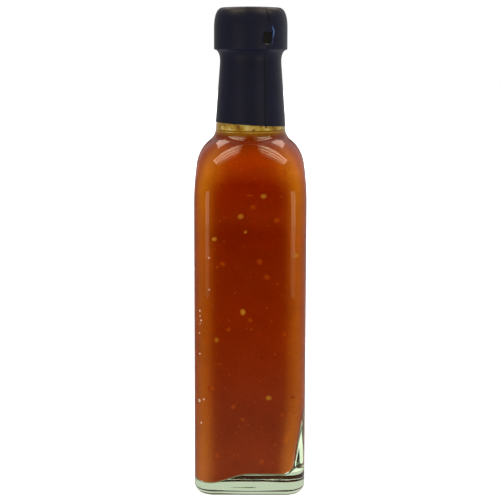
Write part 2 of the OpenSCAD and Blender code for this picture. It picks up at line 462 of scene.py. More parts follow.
# %% [markdown]
# ## The sauce
#
# The sauce fills the inside up to the foot of the neck. Its skin is the same stack of rings,
# grown a tenth of a millimetre into the glass, so that no air shows between the two. Wet sauce
# climbs the glass a little at its edge.
#
# Chilli sauce is cloudy: light enters it and comes out again close by. At the upright corners
# it can get in and out on two sides, so they glow more orange than the flat faces, and over the
# shoulder the glow spreads. That glow is painted light: each vertex keeps how much it glows,
# and the sauce's colour paints the glow in.

# %% The body of sauce
INTO_WALL = 0.12
MENISCUS = 0.9
GLOW_POWER = 1.7
BODY_GLOW, BODY_GLOW_WIDTH = 0.08, 1.6
SHOULDER_GLOW, SHOULDER_GLOW_WIDTH = 0.5, 3.6
SHOULDER_GLOW_FROM, SHOULDER_GLOW_FULL = LEAN_Z + 4, LEAN_Z + 18


def glow(turn, from_corner, z):
    """The painted glow's strength: 1 in the middle of a corner, fading along the flats. turn goes 0
    to 90 round a corner.
    """
    up = ease((z - SHOULDER_GLOW_FROM) / (SHOULDER_GLOW_FULL - SHOULDER_GLOW_FROM))
    start = mix(BODY_GLOW, SHOULDER_GLOW, up)
    if from_corner <= 0:
        around = math.sin(math.radians(2 * turn))
        return start + (1 - start) * max(around, 0) ** GLOW_POWER
    return start * math.exp(-from_corner / mix(BODY_GLOW_WIDTH, SHOULDER_GLOW_WIDTH, up))


def painted_corner_glow(i, z):
    """How much painted glow a place on a ring gets."""
    k = i % (CORNER_PLACES + FLAT_PLACES)
    along = max(k - CORNER_PLACES, 0) / FLAT_PLACES
    return glow(90 * k / CORNER_PLACES, min(along, 1 - along) * 2 * (HALF - CORNER_R), z)


sauce_rings = inside_up(INTO_WALL, SAUCE_Z - 0.2)
for rise in (0, MENISCUS * 0.5, MENISCUS):
    sauce_rings.append(inner_ring(inside_half(SAUCE_Z + rise), SAUCE_Z + rise, INTO_WALL))
for rise, inset in ((MENISCUS * 0.9, 0.25), (MENISCUS * 0.4, 0.7), (0.1, 1.6), (0, 3.0), (0, 7.0)):
    sauce_rings.append(inner_ring(inside_half(SAUCE_Z) - inset, SAUCE_Z + rise, 0))
sauce = stack_of_rings("sauce_fill", sauce_rings, PLACES,
                       paint={"corner": lambda i, co: painted_corner_glow(i, co.z)})
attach(sauce, "root")
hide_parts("sauce")

# %% [markdown]
# ## Where things lie against the glass
#
# Seeds, flecks and bubbles show only where they touch the glass. Each is placed by the face it
# lies on, its distance from the middle of that face, and its height. `on_the_wall` turns that
# into a point on the sauce's skin and three directions: along the wall, up, and out.

# %% A place on the wall
SMALL_TURN, SMALL_RISE = 0.004, 0.2
MOST_ROUND = 0.98
BIT_CURVE = 0.12


def on_the_wall(face, across, z):
    """face counts quarter turns from the front. Gives the point, its along, up and out, how
    strongly the wall bends there, and how much painted corner glow the sauce has there."""
    middle = IN_HALF - IN_CORNER
    over = min(max(abs(across) - middle, 0), IN_CORNER * MOST_ROUND)
    # A wall of radius R falls away by a * a / (2 * R).
    bend = 0.5 / IN_CORNER if over > 0 else 0
    glows = glow(math.degrees(math.asin(over / IN_CORNER)), max(middle - abs(across), 0), z)
    depth = middle + math.sqrt(IN_CORNER ** 2 - over ** 2)
    angle = math.atan2(-depth, across) + face * math.pi / 2
    half = inside_half(z)
    point = Vector(inner_point(angle, half, z, INTO_WALL))
    along = Vector(inner_point(angle + SMALL_TURN, half, z, INTO_WALL)) - point
    higher = z + SMALL_RISE
    above = Vector(inner_point(angle, inside_half(higher), higher, INTO_WALL)) - point
    along.normalize()
    out = along.cross(above).normalized()
    return point, along, out.cross(along), out, bend, glows


def flat_bit(bm, spot, size, roll, proud, detail):
    """Adds one flattened, slightly bent bit, sunk in the wall's skin. Returns its vertices."""
    point, along, up, out, bend, glows = spot
    width, height, depth = size
    corner_layer = bm.verts.layers.float.get("corner")
    verts = bmesh.ops.create_icosphere(bm, subdivisions=detail, radius=1)["verts"]
    c, s = math.cos(roll), math.sin(roll)
    for vert in verts:
        a, b, d = vert.co
        b += BIT_CURVE * a * a
        a, b = a * width / 2, b * height / 2
        a, b = a * c - b * s, a * s + b * c
        vert.co = (point + along * a + up * b + out * (d * depth + proud - bend * a * a)) * MM
        vert[corner_layer] = glows
    return verts


def how_far_out(vert, spot, size, proud):
    """How far a vertex of a bit stands out of the sauce, from 0 at its skin to 1."""
    offset = vert.co / MM - spot[0]
    out = offset.dot(spot[3]) + spot[4] * offset.dot(spot[1]) ** 2
    return ease(out / (size[2] + proud))


def scatter(name, bits, thick, proud, detail):
    """One piece made of bits. Each is given by its face, its place across and up, its length,
    width and roll, how much of it shows, and its warmth."""
    bm = bmesh.new()
    for attribute in ("corner", "showing", "warmth"):
        bm.verts.layers.float.new(attribute)
    showing, warmth = (bm.verts.layers.float[layer] for layer in ("showing", "warmth"))
    for face, across, z, long, wide, roll, show, warm in bits:
        spot = on_the_wall(face, across, z)
        size = (long, wide, thick)
        for vert in flat_bit(bm, spot, size, roll, proud, detail):
            vert[showing] = show * how_far_out(vert, spot, size, proud)
            vert[warmth] = warm
    print(len(bits), "bits")
    return finish_mesh(bm, name)


# %% [markdown]
# ## Seeds
#
# The sauce is made from whole crushed chillies, so flat pale seeds three to four millimetres
# long drift in it. Those against the glass show clearly, those a little deeper only as soft
# orange spots. Each vertex of a seed keeps how much of the seed shows through the sauce there:
# most at its middle, nothing at its sunk rim, so a seed has a soft edge.

# %% Seeds
SEED_LONG, SEED_WIDE, SEED_THICK = 3.9, 3.5, 0.3
SEED_PROUD = -0.18
SEED_MOST_SHOWN, NEAR_GLASS = 0.78, 0.6
# Each front seed has its place across and up, how much it shows, and its size.
front_seeds = (
    (5.5, 129.5, 0.75, 1.0), (-4, 121, 0.75, 1.0), (-15, 111.5, 1.0, 0.9), (19, 104.5, 0.8, 0.8),
    (-3, 80.5, 1.0, 1.05), (-14, 68.5, 0.7, 0.9), (8, 43.5, 0.9, 1.0), (-2, 114.5, 0.7, 0.6),
    (1, 125, 0.35, 0.9), (11, 119.5, 0.4, 1.0), (4, 102, 0.35, 1.0), (14, 139, 0.3, 0.9),
    (-11.5, 101, 0.35, 0.9), (7, 95.5, 0.35, 1.1), (0, 77, 0.3, 0.9), (-9, 73, 0.35, 0.8),
    (14.5, 71, 0.35, 0.9), (-16, 47.5, 0.4, 1.0), (-7, 39.5, 0.3, 1.0), (14.5, 36, 0.35, 0.9),
    (-3, 34, 0.3, 0.8), (-14, 18, 0.4, 1.0), (5.5, 15.5, 0.35, 1.0), (19.5, 111, 0.4, 0.7),
)
rng = random.Random(61)
seeds = [(0, x, z, show, size) for x, z, show, size in front_seeds]
for face in (1, 2, 3):
    for _ in range(20):
        show = rng.choice((0.3, 0.35, 0.4, 0.75, 0.95))
        seeds.append((face, rng.uniform(-15, 15), rng.uniform(16, 138), show,
                      rng.uniform(0.75, 1.1)))

seed_bits = []
for face, across, z, show, size in seeds:
    roll = rng.uniform(0, math.pi)
    wide = SEED_WIDE * size * rng.uniform(0.85, 1)
    seed_bits.append((face, across, z, SEED_LONG * size, wide, roll, SEED_MOST_SHOWN * show,
                      1.0 if show > NEAR_GLASS else 0.0))
seeds_piece = scatter("chilli_seeds", seed_bits, SEED_THICK, SEED_PROUD, 3)
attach(seeds_piece, "root")

# %% [markdown]
# ## Flecks of pulp
#
# Between the seeds lie small shreds of skin and flesh, most of them half a millimetre to a
# millimetre and a half long, some darker red and some more orange than the sauce. The last
# number of each says which, 0 for dark and 1 for orange. The first few are longer shreds,
# listed one by one at the front.

# %% Flecks of pulp
FLECK_THICK, FLECK_PROUD = 0.25, -0.15
# Face, across, up, length, width, roll, how much it shows, and dark or orange.
shreds = [(0, -0.2, 129.8, 4.6, 0.7, 0.05, 0.6, 1), (0, 4.7, 61, 1.9, 1.0, 0.4, 0.8, 0),
          (0, 18, 43.6, 3.0, 1.3, 0.1, 0.6, 0), (0, 9.5, 75, 1.6, 0.9, 1.1, 0.5, 0),
          (0, -6, 58, 1.4, 0.9, 0.7, 0.5, 0)]
for _ in range(460):
    long = rng.uniform(0.6, 1.7)
    shreds.append((rng.randrange(4), rng.uniform(-19, 19), rng.uniform(12, 146), long,
                   long * rng.uniform(0.4, 0.8), rng.uniform(0, math.pi), rng.uniform(0.25, 0.75),
                   rng.choice((0, 1, 1, 1))))
flecks = scatter("pulp_flecks", shreds, FLECK_THICK, FLECK_PROUD, 2)
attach(flecks, "root")

# %% [markdown]
# ## Air bubbles
#
# A few bubbles stay caught against the glass, most of them in one corner, where the sauce
# flowed in last. From outside a bubble is a tiny pale dome.

# %% Air bubbles
BUBBLE_TALL = 1.15
BUBBLE_DEPTH, BUBBLE_PROUD = 0.3, -0.1
front_bubbles = (
    (-20.6, 41.5, 1.5), (-20, 32, 0.9), (-20.4, 62, 0.8), (-20.4, 80.5, 0.9), (-20.3, 78.4, 0.7),
    (-20, 76.5, 0.9), (-20.3, 75, 0.6), (-20.5, 71, 0.7), (-19, 42.5, 0.8), (-17, 90, 0.6),
    (-17, 103.5, 0.6),
)
bubbles = [(0, x, z, size) for x, z, size in front_bubbles]
for face in (1, 2, 3):
    for _ in range(7):
        bubbles.append((face, rng.uniform(-20, 20), rng.uniform(20, 135), rng.uniform(0.5, 1.1)))
bubble_bits = [(face, x, z, size, size * BUBBLE_TALL, 0, 0, 0) for face, x, z, size in bubbles]
bubbles_piece = scatter("air_bubbles", bubble_bits, BUBBLE_DEPTH, BUBBLE_PROUD, 2)
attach(bubbles_piece, "root")

# %% [markdown]
# ## The film in the neck
#
# When the bottle was last tipped, thin sauce ran down the inside of the neck and left an ochre
# film on the glass above the level, with brown specks in it. The film is a thin shell against
# the bore, closed on itself, and the specks are bits of skin that stuck in it.

# %% The film in the neck
FILM_TOP = 163
FILM_THICK = 0.3


def bore_ring(z, grow):
    return inner_ring(inside_half(z), z, grow)


film_heights = [mix(SAUCE_Z - 0.6, FILM_TOP, k / 8) for k in range(9)]
film_rings = [bore_ring(z, INTO_WALL * 0.9) for z in film_heights]
film_rings += [bore_ring(z, -FILM_THICK) for z in reversed(film_heights)]
film_rings.append(film_rings[0])
neck_film = stack_of_rings("neck_film", film_rings, PLACES, close_first=False, close_last=False,
                           join=True)
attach(neck_film, "root")

# %% Specks in the film
SPECK_THICK, SPECK_PROUD = 0.3, -0.15
front_specks = ((-5, 157.8, 0.8), (1.2, 156.3, 1.0), (4.5, 158.2, 1.1), (7, 157.6, 0.9),
                (-9, 157, 0.5))
speck_bits = [(0, x * (IN_HALF / inside_half(z)), z, size * 1.3, size,
               rng.uniform(0, math.pi), 0, 0) for x, z, size in front_specks]
speck_bits += [(face, rng.uniform(-15, 15), rng.uniform(156, 158), rng.uniform(0.5, 1.3),
                rng.uniform(0.4, 0.9), rng.uniform(0, 3), 0, 0)
               for face in (1, 2, 3) for _ in range(5)]
specks = scatter("neck_specks", speck_bits, SPECK_THICK, SPECK_PROUD, 2)
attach(specks, "root")

# %% [markdown]
# ## The shrunk sleeve
#
# The black film was slipped over the closed bottle as a wide tube and shrunk with hot air. It
# follows the neck, hangs in a hollow curve under the cap and closes over the top. Its tube was
# made from a strip joined along a lap seam, which stands a little proud on one side, is pulled
# sideways where the cap is widest, and has parted there, so the cap shows in a small opening.
#
# The places round the sleeve are counted from the seam, close together beside it. The seam is
# then a line of the mesh: a groove, and a raised lap that fades away.

# %% The sleeve's outline
EDGE_Z = 158.6
EDGE_TILT = 3.4
FIT, FILM = 0.05, 0.2
EDGE_H, HEAD_SIDE = 9.5, 8.2
HEAD_FOOT = TOP_Z - EDGE_H - HEAD_SIDE
CROWN_R, CROWN_DROP, EDGE_POWER = 11.5, 0.35, 2.5
NOTCH_LOW, NOTCH_HIGH = HEAD_FOOT + 2.2, HEAD_FOOT + 7.0
neck_sleeve_r = NECK_TOP[0] + FILM + 2 * FIT
lip = 0.35


def sleeve_r(z):
    return NECK_FOOT[0] - (z - NECK_FOOT[1]) * math.tan(math.radians(NECK_A)) + FIT + FILM


sleeve_line = [(sleeve_r(z), z) for z in (161, 164, 167, 170, 173, 176, 179, 182, 184)]
hang_out = HEAD_R - lip - neck_sleeve_r
hang_up = HEAD_FOOT - lip - NECK_TOP[1]
for k in range(9):
    t = math.radians(90 * k / 8)
    sleeve_line.append((neck_sleeve_r + hang_out * (1 - math.cos(t)),
                        NECK_TOP[1] + hang_up * math.sin(t)))
sleeve_line += [(HEAD_R - 0.1, HEAD_FOOT - 0.25), (HEAD_R, HEAD_FOOT + 0.2)]
head_heights = [HEAD_FOOT + 0.7, HEAD_FOOT + 1.4]
head_heights += [NOTCH_LOW + 1.2 * k for k in range(4)] + [NOTCH_HIGH, HEAD_FOOT + 7.6]
sleeve_line += [(HEAD_R, z) for z in head_heights]
for k in range(15):
    t = math.radians(90 * k / 14)
    z0 = HEAD_FOOT + HEAD_SIDE
    sleeve_line.append((CROWN_R + (HEAD_R - CROWN_R) * math.cos(t) ** (2 / EDGE_POWER),
                        z0 + (TOP_Z - CROWN_DROP - z0) * math.sin(t) ** (2 / EDGE_POWER)))
for s in (0.8, 0.6, 0.4, 0.2, 0.05):
    sleeve_line.append((CROWN_R * s, TOP_Z - CROWN_DROP * s * s))
print(len(sleeve_line), "levels in the sleeve")

# %% The seam's path
# Heights in mm and degrees from the front towards +X.
SEAM_AZIMUTH = 26
seam_path = ((158, 24.3), (176, 26.5), (188.2, 25.8), (190.7, 27.8), (192.1, 35.0), (197.6, 38.6),
             (202.4, 29.6), (206, 27), (208, 26))
beside_seam = [0.25, 0.6, 1.2, 2, 3, 4.5, 6, 8, 10.5]
EVEN_PLACES = 140
last = beside_seam[-1]
seam_offsets = sorted([-o for o in beside_seam]) + beside_seam
seam_offsets += [last + (360 - 2 * last) * k / EVEN_PLACES for k in range(1, EVEN_PLACES)]
SLEEVE_PLACES = len(seam_offsets)
SEAM_PULL_FULL, SEAM_PULL_END = 3, 16
GROOVE, GROOVE_WIDTH = 0.16, 0.5
LAP, LAP_WIDTH = 0.15, 11
INSIDE_BOX = 0.01


def seam_azimuth(z):
    for (z0, a0), (z1, a1) in zip(seam_path, seam_path[1:]):
        if z <= z1:
            return mix(a0, a1, max(z - z0, 0) / (z1 - z0))
    return seam_path[-1][1]


def from_seam(i):
    """The place's distance from the seam in degrees, negative to its left."""
    return (seam_offsets[i] + 180) % 360 - 180


def sleeve_ring(radius, z, slope=0.0):
    """A ring of the sleeve. slope tilts it, so that +X is lower."""
    pull = seam_azimuth(z) - SEAM_AZIMUTH

    def point(i):
        o = from_seam(i)
        share = 1 - ease((abs(o) - SEAM_PULL_FULL) / (SEAM_PULL_END - SEAM_PULL_FULL))
        a = math.radians(SEAM_AZIMUTH + o + pull * share)
        near_middle = min(radius / HEAD_R, 1)
        relief = -GROOVE * math.exp(-(o / GROOVE_WIDTH) ** 2)
        if o < 0:
            relief -= LAP * math.exp(o / LAP_WIDTH)
        r = radius + relief * near_middle - INSIDE_BOX
        x, y = r * math.sin(a), -r * math.cos(a)
        return (x, y, z - slope * x)
    return point


# %% The sleeve
slope = math.tan(math.radians(EDGE_TILT))
sleeve_rings = [sleeve_ring(sleeve_r(EDGE_Z) + 0.1, EDGE_Z, slope),
                sleeve_ring(sleeve_r(EDGE_Z + 0.5) + 0.03, EDGE_Z + 0.5, slope),
                sleeve_ring(sleeve_r(EDGE_Z + 1.2), EDGE_Z + 1.2, slope * 0.8)]
sleeve_rings += [sleeve_ring(r, z) for r, z in sleeve_line]
# Heights, widths and strengths of the painted blue glint on the parted cut edge.
PARTED_LOW, PARTED_BRIGHT, PARTED_HIGH = 192.2, 195.2, 198.6
WIDE_GLINT, THIN_GLINT = (0.8, 1.0), (0.5, 0.35)
# Width in degrees of the painted dark shade along the seam's groove.
PAINTED_SEAM_SHADE_WIDTH = 0.7


def painted_glint_on_cut_edge(i, co):
    """How strong the painted blue glint is: up to 1 on the cut edge of the film where the seam has
    parted, 0 elsewhere.
    """
    if not PARTED_LOW < co.z < PARTED_HIGH:
        return 0.0
    wide, strong = WIDE_GLINT if co.z > PARTED_BRIGHT else THIN_GLINT
    return strong * math.exp(-(from_seam(i) / wide) ** 2)


# The mesh keeps a painted dark shade along the seam's groove, and a painted blue glint on the
# parted cut edge.
sleeve = stack_of_rings("shrink_sleeve", sleeve_rings, SLEEVE_PLACES, close_first=False,
                        paint={"painted_edge_glint": painted_glint_on_cut_edge,
                               "seam": lambda i, co: math.exp(-(from_seam(i) / PAINTED_SEAM_SHADE_WIDTH) ** 2)})

# %% The opening over the cap
NOTCH_FROM, NOTCH_BESIDE_SEAM = 20, 3
bm = bmesh.new()
bm.from_mesh(sleeve.data)
opening = []
for face in bm.faces:
    middle = face.calc_center_median() / MM
    azimuth = math.degrees(math.atan2(middle.x, -middle.y))
    notch_to = seam_azimuth(middle.z) - NOTCH_BESIDE_SEAM
    if NOTCH_LOW < middle.z < NOTCH_HIGH and NOTCH_FROM < azimuth < notch_to:
        opening.append(face)
bmesh.ops.delete(bm, geom=opening, context="FACES")
bm.to_mesh(sleeve.data)
bm.free()
print(len(opening), "faces opened over the cap")
thickness = sleeve.modifiers.new("film thickness", "SOLIDIFY")
thickness.thickness = FILM * MM
thickness.offset = -1
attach(sleeve, "root")
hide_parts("sleeve")

# %% [markdown]
# ## Glass
#
# Flint glass is clear and smooth, with a refractive index of 1.52. Only where the path through
# it is long, as in the base and the thick corner, does it turn pale green, because it takes a
# little more red and blue out of the light than green. That is a volume absorption, set in
# parts per metre.

# %% Glass material
flint, tree = new_material("moulded flint glass")
glass_shader = add_node(tree, "BsdfPrincipled", {
    "Base Color": (1, 1, 1, 1), "Roughness": 0.0, "IOR": 1.52, "Transmission Weight": 1.0})
absorb = add_node(tree, "VolumeAbsorption", {"Color": (0.365, 0.54, 0.175, 1), "Density": 20.0})
output = put_on(glass, flint, glass_shader)
tree.links.new(absorb.outputs[0], output.inputs["Volume"])

# %% [markdown]
# ## Sauce
#
# The sauce's colour changes slowly with height: lighter and browner near the floor, a deeper
# red in the upper body and more orange at the shoulder, with a thin yellow edge at its level.
# The lighter floor and the orange shoulder are painted light, from light coming up through the
# base and light falling on the shoulder from above. A second set of colours is for the corners'
# painted glow. Soft clouds some 14 mm across and pulp of about a millimetre break both up.
#
# Sauce behind glass has a critical angle: its index is 1.35, the glass's 1.52. Beyond about 63
# degrees light is thrown back into the glass instead of reaching the sauce, which is why the
# thick corners of the glass look clear. The Fresnel node with 1.35 / 1.52 mixes in a mirror
# there. Its faint share on the flat faces is left out, so the sauce keeps its full colour.

# %% Sauce colours
RAMP_TOP = 160
# Lighter and browner near the floor, and more orange at the shoulder: painted light coming up
# through the base and falling from above.
face_stops = (
    (0, "#802F0D"), (18, "#832F0E"), (32, "#7C2B0D"), (45, "#832A0A"), (60, "#832503"),
    (80, "#822201"), (100, "#7C1F01"), (113, "#7A1A00"), (120, "#852301"), (134, "#841B00"),
    (138.5, "#932801"), (143, "#A33000"), (147, "#A03301"), (149.5, "#922F01"),
    (151.5, "#822A02"), (153.3, "#853202"), (155, "#A26A14"))
# Painted glow: brighter, more orange colours for the corners, where light comes through the sauce
# on two sides.
painted_glow_stops = (
    (0, "#B2602A"), (18, "#B05E20"), (45, "#A65012"), (80, "#A44C0C"), (110, "#AA500C"),
    (134, "#B8620A"), (139, "#CC6C10"), (144, "#C86814"), (148, "#BE5A0C"), (150.5, "#AA460A"),
    (152, "#8E3404"), (153.3, "#8A3804"), (155, "#A26A14"))
# Size in mm, detail, roughness and strength of the clouds and of the pulp.
mottling = ((14, 3.0, 0.55, 0.08), (1.1, 2.0, 0.6, 0.07))


def set_stops(ramp, stops, low=0, high=1):
    """Gives a colour ramp its stops: numbers between low and high, and their colours."""
    elements = ramp.color_ramp.elements
    while len(elements) < len(stops):
        elements.new(0.5)
    for element, (number, tint) in zip(elements, stops):
        element.position = (number - low) / (high - low)
        element.color = colour(tint) if isinstance(tint, str) else tint


def sauce_colour(tree, corner=None):
    """The sauce's colour with its painted light and painted corner glow, for the sauce and for what
    is half sunk in it.
    """
    place = add_node(tree, "TexCoord").outputs["Object"]
    axes = add_node(tree, "SeparateXYZ", {}, {0: place})
    height = add_node(tree, "MapRange", {"From Max": RAMP_TOP * MM}, {"Value": axes.outputs["Z"]})
    face_ramp = add_node(tree, "ValToRGB", {}, {0: height.outputs[0]})
    set_stops(face_ramp, face_stops, high=RAMP_TOP)
    base = face_ramp.outputs["Color"]
    if corner is not None:
        corner_ramp = add_node(tree, "ValToRGB", {}, {0: height.outputs[0]})
        set_stops(corner_ramp, painted_glow_stops, high=RAMP_TOP)
        blend = add_node(tree, "Mix", {"data_type": "RGBA"},
                         {0: corner, 6: base, 7: corner_ramp.outputs["Color"]})
        base = blend.outputs[2]
    for size, detail, roughness, strength in mottling:
        spots = add_node(tree, "TexNoise", {"Scale": 1 / (size * MM), "Detail": detail,
                                            "Roughness": roughness}, {"Vector": place})
        share = add_node(tree, "MapRange", {"From Min": 0.3, "From Max": 0.7,
                                            "To Min": 1 - strength, "To Max": 1 + strength},
                         {"Value": spots.outputs[0]})
        base = add_node(tree, "VectorMath.SCALE", {},
                        {0: base, "Scale": share.outputs[0]}).outputs[0]
    return base


# %% Sauce material
THROWN_BACK = 1.35 / 1.52
FAINT = 0.02
NO_GLOSS = {"Roughness": 0.5, "Specular IOR Level": 0.0}
sauce_look, tree = new_material("thick chilli sauce")
# The corner attribute holds how much painted glow each vertex gets.
corner = add_node(tree, "Attribute", {"attribute_name": "corner"})
sauce_shader = add_node(tree, "BsdfPrincipled", NO_GLOSS,
                        {"Base Color": sauce_colour(tree, corner.outputs["Fac"])})
mirror = add_node(tree, "BsdfGlossy", {"Color": (1, 1, 1, 1), "Roughness": 0.0})
beyond = add_node(tree, "Fresnel", {"IOR": THROWN_BACK})
thrown = add_node(tree, "MapRange", {"From Min": FAINT}, {"Value": beyond.outputs[0]})
both = add_node(tree, "MixShader", {}, {0: thrown.outputs[0], 1: sauce_shader.outputs[0],
                                        2: mirror.outputs[0]})
put_on(sauce, sauce_look, both)

# %% [markdown]
# ## The underside of the sauce
#
# Seen from the front, the floor of the sauce lies at a low angle behind thick glass, and its
# edge shows as a thin dull green line. A mirror would draw it white, so the faces that look down
# get a second material instead, with a painted reflection: beyond the glass's own critical angle
# its colour turns from the sauce's to a dull green.

# %% The underside of the sauce
OVER_AIR = 1.0 / 1.52
MOST_GREEN = 0.92
FACES_DOWN, ONLY_BELOW = -0.68, LEAN_Z / 2
sauce_under, tree = new_material("thick chilli sauce with a painted reflection below")
beyond = add_node(tree, "Fresnel", {"IOR": OVER_AIR})
thrown = add_node(tree, "MapRange", {"From Min": FAINT, "To Max": MOST_GREEN},
                  {"Value": beyond.outputs[0]})
# The dull green is a painted reflection, mixed in beyond the critical angle by the Fresnel factor.
blend = add_node(tree, "Mix", {"data_type": "RGBA", 7: colour("#78825E")},
                 {0: thrown.outputs[0], 6: sauce_colour(tree)})
under_shader = add_node(tree, "BsdfPrincipled", NO_GLOSS,
                        {"Base Color": blend.outputs[2]})
put_on(sauce, sauce_under, under_shader)
for face in sauce.data.polygons:
    if face.normal.z < FACES_DOWN and face.center.z < ONLY_BELOW * MM:
        face.material_index = 1

# %% [markdown]
# ## Seeds, flecks and bubbles
#
# Each seed and fleck mixes from the sauce's colour, painted glow and all, at its sunk rim to its
# own colour where it shows, so it has a soft edge. A seed at the glass is a grainy ochre, and a
# deeper one is plain orange, as the sauce over it tints it. Shreds of skin are dark red and
# shreds of flesh orange. None has a gloss of its own, since the glass is what shines. A bubble
# is air behind glass, so it mirrors the light: its pale, uneven colour is a painted reflection,
# and it has a gloss of its own.

# %% Materials of the bits
SEED_GRAIN, FINE_GRAIN = 0.6, 0.5


def speckled(tree, size, dark, light, detail=1.0):
    """A colour that runs between two in spots of a size in mm, and the spots themselves."""
    place = add_node(tree, "TexCoord").outputs["Object"]
    spots = add_node(tree, "TexNoise", {"Scale": 1 / (size * MM), "Detail": detail},
                     {"Vector": place})
    blend = add_node(tree, "Mix", {"data_type": "RGBA", 6: colour(dark), 7: colour(light)},
                     {0: spots.outputs[0]})
    return blend.outputs[2], spots.outputs[0]


def dress_bits(piece, name, own_colour):
    """Gives bits the sauce's colour, and their own where the mesh says that they show."""
    look, tree = new_material(name)
    shows = add_node(tree, "Attribute", {"attribute_name": "showing"})
    glows = add_node(tree, "Attribute", {"attribute_name": "corner"})
    around = sauce_colour(tree, glows.outputs["Fac"])
    blend = add_node(tree, "Mix", {"data_type": "RGBA"},
                     {0: shows.outputs["Fac"], 6: around, 7: own_colour(tree)})
    shader = add_node(tree, "BsdfPrincipled", NO_GLOSS,
                      {"Base Color": blend.outputs[2]})
    put_on(piece, look, shader)


def seed_colour(tree):
    """Grainy ochre near the glass, plain orange deeper in."""
    ochre, _ = speckled(tree, SEED_GRAIN, "#B4661A", "#D2922C")
    near = add_node(tree, "Attribute", {"attribute_name": "warmth"})
    blend = add_node(tree, "Mix", {"data_type": "RGBA", 6: colour("#C8580A")},
                     {0: near.outputs["Fac"], 7: ochre})
    return blend.outputs[2]


def fleck_colour(tree):
    warm = add_node(tree, "Attribute", {"attribute_name": "warmth"})
    blend = add_node(tree, "Mix", {"data_type": "RGBA", 6: colour("#5A0A02"), 7: colour("#B05A10")},
                     {0: warm.outputs["Fac"]})
    return blend.outputs[2]


dress_bits(seeds_piece, "chilli seed in sauce", seed_colour)
dress_bits(flecks, "chilli pulp in sauce", fleck_colour)

# %% [markdown]
# ## Film and specks in the neck
#
# Thin sauce dries to a matt ochre skin, yellow where it is thinnest and brown where it has
# gathered, in patches of a few millimetres. The specks in it are dried chilli skin, dark brown
# with a fine grain.

# %% Film and specks in the neck
FILM_PATCH = 3.5
dried, tree = new_material("thin sauce dried on glass")
place = add_node(tree, "TexCoord").outputs["Object"]
patches = add_node(tree, "TexNoise", {"Scale": 1 / (FILM_PATCH * MM), "Detail": 3.0},
                   {"Vector": place})
tone = add_node(tree, "ValToRGB", {}, {0: patches.outputs[0]})
set_stops(tone, ((0.3, "#9A6214"), (0.5, "#D6AA44"), (0.7, "#ECD67C")))
film_shader = add_node(tree, "BsdfPrincipled", {"Roughness": 0.5, "Specular IOR Level": 0.1},
                       {"Base Color": tone.outputs[0]})
put_on(neck_film, dried, film_shader)

# %% Bubbles and specks
# A bubble's pale colours are a painted reflection of the light that the air behind the glass
# mirrors.
for piece, name, dark, light, finish in (
        (bubbles_piece, "air bubble with painted reflection", "#C98A50", "#F4DCC0", {"Roughness": 0.3}),
        (specks, "dried chilli skin", "#4A220A", "#8A5420", {"Roughness": 0.6})):
    look, tree = new_material(name)
    grained, _ = speckled(tree, FINE_GRAIN, dark, light)
    shader = add_node(tree, "BsdfPrincipled", finish, {"Base Color": grained})
    put_on(piece, look, shader)

# %% [markdown]
# ## Shrink film and cap
#
# The sleeve is black PVC or PET film, matt on the outside: near black with a blue cast, and
# soft broad highlights. Shrinking leaves it slightly uneven. Its seam has a dark line of painted
# shade in its groove, and where the seam has parted, a painted highlight draws the light caught
# by the cut edge as a thin blue glint. The cap under it is plain black lacquered tin, duller
# than the film, which shows only in the opening.

# %% Sleeve and cap materials
SHRINK_SIZE, MATT_SIZE, LACQUER_SIZE = 7, 0.7, 3
film_look, tree = new_material("black shrink film")
black, uneven = speckled(tree, SHRINK_SIZE, "#090A18", "#0E1024", 3.0)
place = add_node(tree, "TexCoord").outputs["Object"]
fine = add_node(tree, "TexNoise", {"Scale": 1 / (MATT_SIZE * MM), "Detail": 2.0},
                {"Vector": place})
# Over the film's colour: a painted dark shade along the seam's groove, then a painted blue glint on
# the parted cut edge.
cut = add_node(tree, "Attribute", {"attribute_name": "painted_edge_glint"})
painted_seam_shade = add_node(tree, "Attribute", {"attribute_name": "seam"})
seam_shaded = add_node(tree, "Mix", {"data_type": "RGBA", 7: colour("#05070C")},
                  {0: painted_seam_shade.outputs["Fac"], 6: black})
glint_painted = add_node(tree, "Mix", {"data_type": "RGBA", 7: colour("#41639A")},
                 {0: cut.outputs["Fac"], 6: seam_shaded.outputs[2]})
rough = add_node(tree, "MapRange", {"To Min": 0.34, "To Max": 0.46}, {"Value": fine.outputs[0]})
dents = add_node(tree, "Bump", {"Strength": 0.25, "Distance": 0.15 * MM},
                 {"Height": uneven})
sleeve_shader = add_node(tree, "BsdfPrincipled", {"IOR": 1.45, "Specular IOR Level": 0.35},
                         {"Base Color": glint_painted.outputs[2], "Roughness": rough.outputs[0],
                          "Normal": dents.outputs[0]})
put_on(sleeve, film_look, sleeve_shader)

lacquer, tree = new_material("black lacquered tin")
place = add_node(tree, "TexCoord").outputs["Object"]
spread = add_node(tree, "TexNoise", {"Scale": 1 / (LACQUER_SIZE * MM), "Detail": 2.0},
                  {"Vector": place})
shine = add_node(tree, "MapRange", {"To Min": 0.35, "To Max": 0.5}, {"Value": spread.outputs[0]})
lacquer_shader = add_node(tree, "BsdfPrincipled",
                          {"Base Color": colour("#080906"), "Specular IOR Level": 0.2},
                          {"Roughness": shine.outputs[0]})
cap = bpy.data.objects["cap"]
cap.data.materials.clear()
put_on(cap, lacquer, lacquer_shader)

# %% [markdown]
# ## Stage and light
#
# The bottle stands on a white sweep in a white tent. The tent lights the sauce evenly from all
# sides. What the glass and the film mirror is darker: the room behind the camera is dark, the
# tent's sides are grey, and only behind the bottle do they turn bright, which draws the pale
# lines at its outer edges. So the background is white to the eye and through glass, and has its
# own tones for a mirrored ray.
#
# The floor is paper with a little light of its own, so it stays as white as the background. It
# throws no shadow and isn't mirrored, since the glass would show its far edge.

